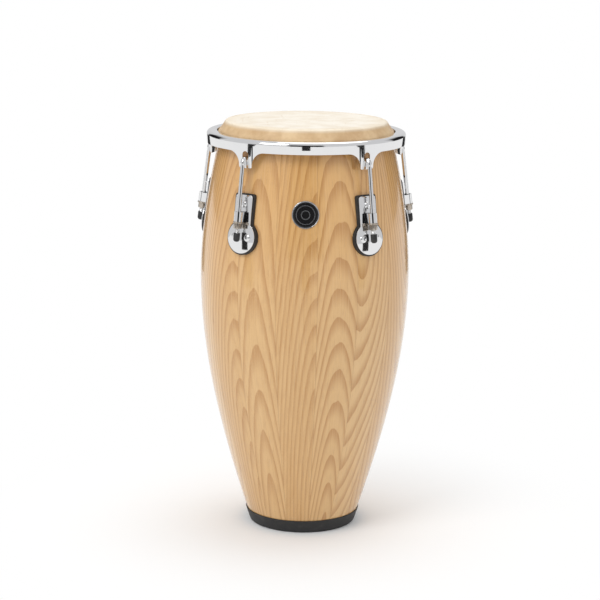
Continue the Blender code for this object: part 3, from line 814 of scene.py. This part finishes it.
def boltPattern():
    # one bolt in the tongue and a pair in the disc, stood on the plate
    bolts = Making("boltPattern", {"Count": "Int", "Side": "Float", "Upper": "Float", "Lower": "Float",
                                   "Place": "Vector", "Turn": "Vector"})
    given = bolts.given
    fromMiddle = bolts.index() - 1
    isMiddle = 1 - fromMiddle.maths("ABSOLUTE")
    spot = bolts.join(fromMiddle * given["Side"],
                      given["Lower"] + (given["Upper"] - given["Lower"]) * isMiddle, 0)
    places = bolts.add("GeometryNodePoints", {}, {"Count": given["Count"], "Position": spot})
    copies = bolts.add("GeometryNodeInstanceOnPoints", {}, {"Points": places,
                                                            "Instance": given["Geometry"]})
    bolts.close(bolts.add("GeometryNodeTransform", {}, {"Geometry": copies, "Translation": given["Place"],
                                                        "Rotation": given["Turn"]}))
    return bolts


def buildBolts(lug, pattern, chrome):
    b = boltSizes
    radius = b["head"]
    height = b["headHeight"]
    seam = 0.0001
    profile = [(0.0004, height * 0.86), (radius * 0.32, height * 0.84), (radius * 0.36, height)]
    profile += [(radius * math.cos(math.radians(t)), height * math.sin(math.radians(t)) + seam)
                for t in range(60, -1, -10)]
    profile += [(radius, seam), (b["shank"], seam), (b["shank"], -b["shankLength"] - plateFront)]
    turns = [fullTurn * k / b["sides"] for k in range(b["sides"])]
    head = [[Vector((r * math.cos(turn), r * math.sin(turn), plateFront + out)) for turn in turns]
            for r, out in profile]
    half = b["backingHalf"]
    lower = discUp - b["backingMargin"]
    upper = upperBolt + b["backingMargin"]
    seat = min(depthAt(lug, across, up, -shellSizes["wall"]) for across in (-half, half)
               for up in (lower, upper)) - 2 * gap
    corner = b["backingCorner"]
    outline = rounded([(half, lower, corner), (half, upper, corner),
                       (-half, upper, corner), (-half, lower, corner)])
    backing = [[lugPoint(lug, across, up, out) for across, up in outline]
               for out in (seat - b["backing"], seat)]
    name = f"plateBolts{lug + 1}"
    bolts = newPiece(name, plainMesh(name, skinned(head, looped=False, capped=True)))
    pattern.shape(bolts, {"Count": b["count"], "Side": b["side"], "Upper": upperBolt, "Lower": discUp,
                          "Place": lugPoint(lug, 0, 0, 0), "Turn": lugTurn(lug), "Material": chrome})
    bm = bmesh.new()
    bm.from_mesh(bolts.data)
    bm.from_mesh(plainMesh("backing", skinned(backing, looped=False, capped=True)))
    bm.to_mesh(bolts.data)
    bm.free()
    dress(bolts, 35)
    mount(bolts, "root", f"plate_bolts_{lug + 1}")


def onRod(lug, radius, turn, up):
    return lugPoint(lug, radius * math.cos(turn), up, rodOut + radius * math.sin(turn))


def buildWasher(lug, zinc):
    s = lugSizes
    radius = s["washer"] / 2
    low = washerTop - s["washerThickness"]
    bore = 0.0046
    section = rounded([(bore, washerTop, 0.0002), (radius, washerTop, 0.0005),
                       (radius, low, 0.0005), (bore, low, 0.0002)], 3)
    rings = [[onRod(lug, r, fullTurn * k / 36, up) for r, up in section] for k in range(36)]
    name = f"strapWasher{lug + 1}"
    washer = newPiece(name, plainMesh(name, skinned(rings)), zinc)
    dress(washer, 40)
    mount(washer, "root", f"strap_washer_{lug + 1}")


def buildNut(lug, zinc):
    s = lugSizes
    flat = s["nutFlats"] / 2
    low = nutTop - s["nutLength"]
    bore = 0.0044
    mouth = 0.0052
    sides = 60
    rings = []
    for k in range(sides):
        turn = fullTurn * k / sides
        reach = flat / math.cos((turn - math.pi / 6) % (math.pi / 3) - math.pi / 6)
        chamfer = min(0.0009, (reach - flat) * 0.9 + 0.0001)
        section = [(bore, nutTop - 0.0006), (mouth, nutTop), (flat, nutTop), (reach, nutTop - chamfer),
                   (reach, low + chamfer), (flat, low), (mouth, low), (bore, low + 0.0006)]
        rings.append([onRod(lug, r, turn, up) for r, up in section])
    name = f"tuningNut{lug + 1}"
    nut = newPiece(name, plainMesh(name, skinned(rings)), zinc)
    dress(nut, 30)
    mount(nut, f"nut_{lug + 1}", f"tuning_nut_{lug + 1}")


def buildCap(lug, rubber):
    radius = lugSizes["cap"] / 2
    bore = lugSizes["bore"]
    section = [(bore, capBottom + 0.0017), (bore, capTop), (radius * 0.93, capTop),
               (radius, capTop - 0.0006)]
    section += [(radius * math.cos(math.radians(t)) ** 0.7,
                 capBottom + radius * 0.9 * (1 - math.sin(math.radians(t)))) for t in range(0, 90, 12)]
    section.append((radius * 0.12, capBottom))
    rings = [[onRod(lug, r, fullTurn * k / 36, up) for k in range(36)] for r, up in section]
    name = f"endCap{lug + 1}"
    cap = newPiece(name, plainMesh(name, skinned(rings, looped=False, capped=True)), rubber)
    dress(cap, 45)
    mount(cap, f"rod_{lug + 1}", f"end_cap_{lug + 1}")


def threadedRod():
    # sweeps a round bar along the path and cuts the screw thread into its lower end
    rod = Making("threadedRod", {"Radius": "Float", "Sides": "Int", "Pitch": "Float", "Depth": "Float",
                                 "Start": "Float", "Thread End": "Float", "Tip": "Float"})
    given = rod.given
    path = rod.add("GeometryNodeMeshToCurve", {}, {"Mesh": given["Geometry"]})
    path = rod.store(path, "share", rod.add("GeometryNodeSplineParameter", {}, {}, "Factor"))
    path = rod.store(path, "along", rod.add("GeometryNodeSplineParameter", {}, {}, "Length"))
    path = rod.store(path, "middle", rod.add("GeometryNodeInputPosition", {}, {}), "FLOAT_VECTOR")
    circle = rod.add("GeometryNodeCurvePrimitiveCircle", {}, {"Resolution": given["Sides"],
                                                              "Radius": given["Radius"]})
    circle = rod.store(circle, "side", rod.index())
    bar = rod.add("GeometryNodeCurveToMesh", {}, {"Curve": path, "Profile Curve": circle,
                                                  "Fill Caps": True})
    up = rod.stored("along") + given["Start"]
    turn = (up / given["Pitch"] + rod.stored("side") / given["Sides"]).maths("FRACT")
    isThread = up.maths("LESS_THAN", given["Thread End"])
    isTip = rod.stored("share").maths("GREATER_THAN", 0.9999)
    cut = (turn * 2 - 1).maths("ABSOLUTE") * given["Depth"] * isThread + given["Tip"] * isTip
    inward = rod.vector("SUBTRACT", rod.stored("middle", "FLOAT_VECTOR"),
                        rod.add("GeometryNodeInputPosition", {}, {}))
    inward = rod.vector("MULTIPLY", rod.vector("NORMALIZE", inward), rod.join(cut, cut, cut))
    bar = rod.add("GeometryNodeSetPosition", {}, {"Geometry": bar, "Offset": inward})
    for name in ("share", "along", "middle", "side"):
        bar = rod.add("GeometryNodeRemoveAttribute", {}, {"Geometry": bar, "Name": name})
    rod.close(bar)
    return rod


def rodPath(lug):
    # up the lug's line, through a slight kink to upright, and over the hook to its short leg
    s = lugSizes
    foot = lugPoint(lug, 0, rodFoot, rodOut)
    footRadius = math.hypot(foot.x, foot.y - axisY)
    hookCentre = rimSizes["radius"] - rimSizes["steel"] / 2 - s["travel"] * math.tan(tilt) / 2
    hookHeight = s["height"] + s["hookRise"]
    shank = hookCentre + s["hook"]
    kinkRadius = shank + s["kink"]
    kinkHeight = foot.z + (footRadius - shank) / math.tan(tilt) + s["kink"] * math.tan(tilt / 2)

    def kinkPoint(turn):
        return Vector((kinkRadius - s["kink"] * math.cos(turn), kinkHeight - s["kink"] * math.sin(turn)))

    start = Vector((footRadius, foot.z))
    steps = threadSizes["steps"]
    path = [start.lerp(kinkPoint(tilt), k / steps) for k in range(steps)]
    path += [kinkPoint(tilt * (1 - k / 8)) for k in range(9)]
    path += arc((hookCentre, hookHeight), s["hook"], range(0, 181, 7))
    legEnd = hookHeight - s["hookLeg"]
    path += [(hookCentre - s["hook"], legEnd + 0.0005), (hookCentre - s["hook"], legEnd)]
    return [around(lugAngle(lug), *point) for point in path]


def buildRod(lug, sweep, chrome):
    path = rodPath(lug)
    mesh = bpy.data.meshes.new("rodPath")
    mesh.from_pydata(path, [(k, k + 1) for k in range(len(path) - 1)], [])
    rod = newPiece(f"tuningRod{lug + 1}", mesh)
    radius = lugSizes["rod"] / 2
    sweep.shape(rod, {"Radius": radius, "Sides": threadSizes["sides"], "Pitch": threadSizes["pitch"],
                      "Depth": threadSizes["depth"], "Start": rodFoot,
                      "Thread End": nutTop + threadSizes["above"], "Tip": radius * 0.15,
                      "Material": chrome})
    dress(rod, 50)
    mount(rod, f"rod_{lug + 1}", f"tuning_rod_{lug + 1}")


studio = {"floorRadius": 14, "shadowFrom": 0.16, "shadowTo": 0.62, "even": 0.80,
          "soft": (0.72, 0.72, 0.73, 1), "flagDistance": 2.6, "flagHeight": 0.62,
          "flags": ((0, 0.42), (-62, 0.5), (62, 0.5), (150, 0.6), (-150, 0.6)), "aim": (0, 0, 0.45),
          "lamps": {"keyLamp": ((-1.6, -1.8, 2.6), 1.6, 30), "topLamp": ((0.4, 0.6, 3.0), 2.0, 18)}}
view = {"place": (-0.0082, -3.630 + axisY, 1.1917), "down": 0.2086, "roll": 0.0109,
        "focalPixels": 1982.6, "imageWidth": 600, "sensor": 36}


def buildFloor():
    bm = bmesh.new()
    bmesh.ops.create_circle(bm, cap_ends=True, segments=96, radius=studio["floorRadius"])
    mesh = bpy.data.meshes.new("floor")
    bm.to_mesh(mesh)
    bm.free()
    pale = Shading("paleFloor")
    place = pale.place()
    x, y, z = pale.split(place)
    soft = pale.noise(place, 3.0)
    pale.finish(colour=pale.mix(soft, (0.93, 0.93, 0.93, 1), (0.96, 0.96, 0.96, 1)), roughness=0.85)
    pale.shader.inputs["Specular IOR Level"].default_value = 0.2
    # away from the drum the floor turns into the white of the background
    away = fromAxis(x, y).ramp(studio["shadowFrom"], studio["shadowTo"])
    white = pale.add("ShaderNodeEmission", {}, {"Color": (1, 1, 1, 1), "Strength": 1.0})
    lit = Value(pale, pale.shader.outputs[0])
    blended = pale.add("ShaderNodeMixShader", {}, {0: away, 1: lit, 2: white})
    pale.fill(pale.nodes["Material Output"], {"Surface": blended})
    newPiece("floor", mesh, pale.material)


def buildFlags():
    # black cards that only reflections in the chrome see
    black = Shading("flagBlack")
    black.finish(colour=(0.01, 0.01, 0.01, 1), roughness=0.9)
    high = Vector((0, 0, studio["flagHeight"]))
    for number, (degrees, wide) in enumerate(studio["flags"]):
        angle = math.radians(degrees)
        middle = around(angle, studio["flagDistance"], 0)
        side = Vector((math.cos(angle), math.sin(angle), 0)) * wide / 2
        mesh = bpy.data.meshes.new("flag")
        mesh.from_pydata([middle - side, middle + side, middle + side + high, middle - side + high], [],
                         [(0, 1, 2, 3)])
        flag = newPiece(f"flag{number + 1}", mesh, black.material)
        flag.visible_camera = False
        flag.visible_diffuse = False
        flag.visible_shadow = False


def buildWorld():
    # white to the camera; soft light round the drum, with dark places for the chrome to show
    world = bpy.data.worlds.new("studio")
    bpy.context.scene.world = world
    world.use_nodes = True
    world.node_tree.nodes.clear()
    sky = NodeTree(world.node_tree)
    x, y, z = sky.split(sky.place("Generated"))
    angle = sky.add("ShaderNodeMath", {"operation": "ARCTAN2"}, {0: x.maths("ABSOLUTE"), 1: y * -1})
    ahead = 1 - angle.ramp(math.radians(17), math.radians(23))
    side = (angle.ramp(math.radians(114), math.radians(120))
            * (1 - angle.ramp(math.radians(148), math.radians(156))))
    level = 1 - z.maths("ABSOLUTE").ramp(0.35, 0.60)
    dark = ((ahead + side) * level).clamped()
    even = studio["even"]
    colours = {"glow": sky.mix(dark, studio["soft"], (0.012, 0.012, 0.013, 1)),
               "even": (even, even, even, 1), "white": (1, 1, 1, 1)}
    light = {name: sky.add("ShaderNodeBackground", {}, {"Color": colour, "Strength": 1.0})
             for name, colour in colours.items()}
    isCamera = sky.add("ShaderNodeLightPath", {}, {}, "Is Camera Ray")
    isGlossy = sky.add("ShaderNodeLightPath", {}, {}, "Is Glossy Ray")
    lit = sky.add("ShaderNodeMixShader", {}, {0: isGlossy, 1: light["even"], 2: light["glow"]})
    seen = sky.add("ShaderNodeMixShader", {}, {0: isCamera, 1: lit, 2: light["white"]})
    sky.fill(sky.nodes.new("ShaderNodeOutputWorld"), {"Surface": seen})


def addLamps():
    for name, (place, size, power) in studio["lamps"].items():
        data = bpy.data.lights.new(name, "AREA")
        data.shape = "DISK"
        data.size = size
        data.energy = power
        lamp = bpy.data.objects.new(name, data)
        lamp.location = place
        lamp.rotation_euler = (Vector(studio["aim"]) - Vector(place)).to_track_quat("-Z", "Y").to_euler()
        bpy.context.collection.objects.link(lamp)


def addCamera():
    # where the photograph was taken from, with its slight roll
    data = bpy.data.cameras.new("camera")
    data.sensor_width = view["sensor"]
    data.lens = view["focalPixels"] / view["imageWidth"] * view["sensor"]
    camera = bpy.data.objects.new("camera", data)
    turn = Euler((math.pi / 2 - view["down"], 0, 0)).to_matrix() @ Matrix.Rotation(view["roll"], 3, "Z")
    camera.location = view["place"]
    camera.rotation_euler = turn.to_euler()
    bpy.context.collection.objects.link(camera)
    bpy.context.scene.camera = camera


chrome = polishedChrome("polishedChrome", chromeLook["tone"])
zinc = zincPlate()
rubber = blackRubber()
buildShell()
buildFootRing(rubber)
buildHead()
buildRim(chrome)
buildBadge(polishedChrome("badgeMetal", chromeLook["badgeTone"]))
pattern = boltPattern()
sweep = threadedRod()
for lug in range(lugSizes["count"]):
    buildPlate(lug, chrome)
    buildPad(lug, rubber)
    buildBolts(lug, pattern, chrome)
    buildWasher(lug, zinc)
    buildNut(lug, zinc)
    buildCap(lug, rubber)
    buildRod(lug, sweep, chrome)
    print("lug", lug + 1)
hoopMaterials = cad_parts["flesh_hoop"].data.materials
hoopMaterials.clear()
hoopMaterials.append(zinc)

buildFloor()
buildFlags()
buildWorld()
addLamps()
addCamera()
bpy.context.scene.view_settings.view_transform = "Standard"
print("scene done")
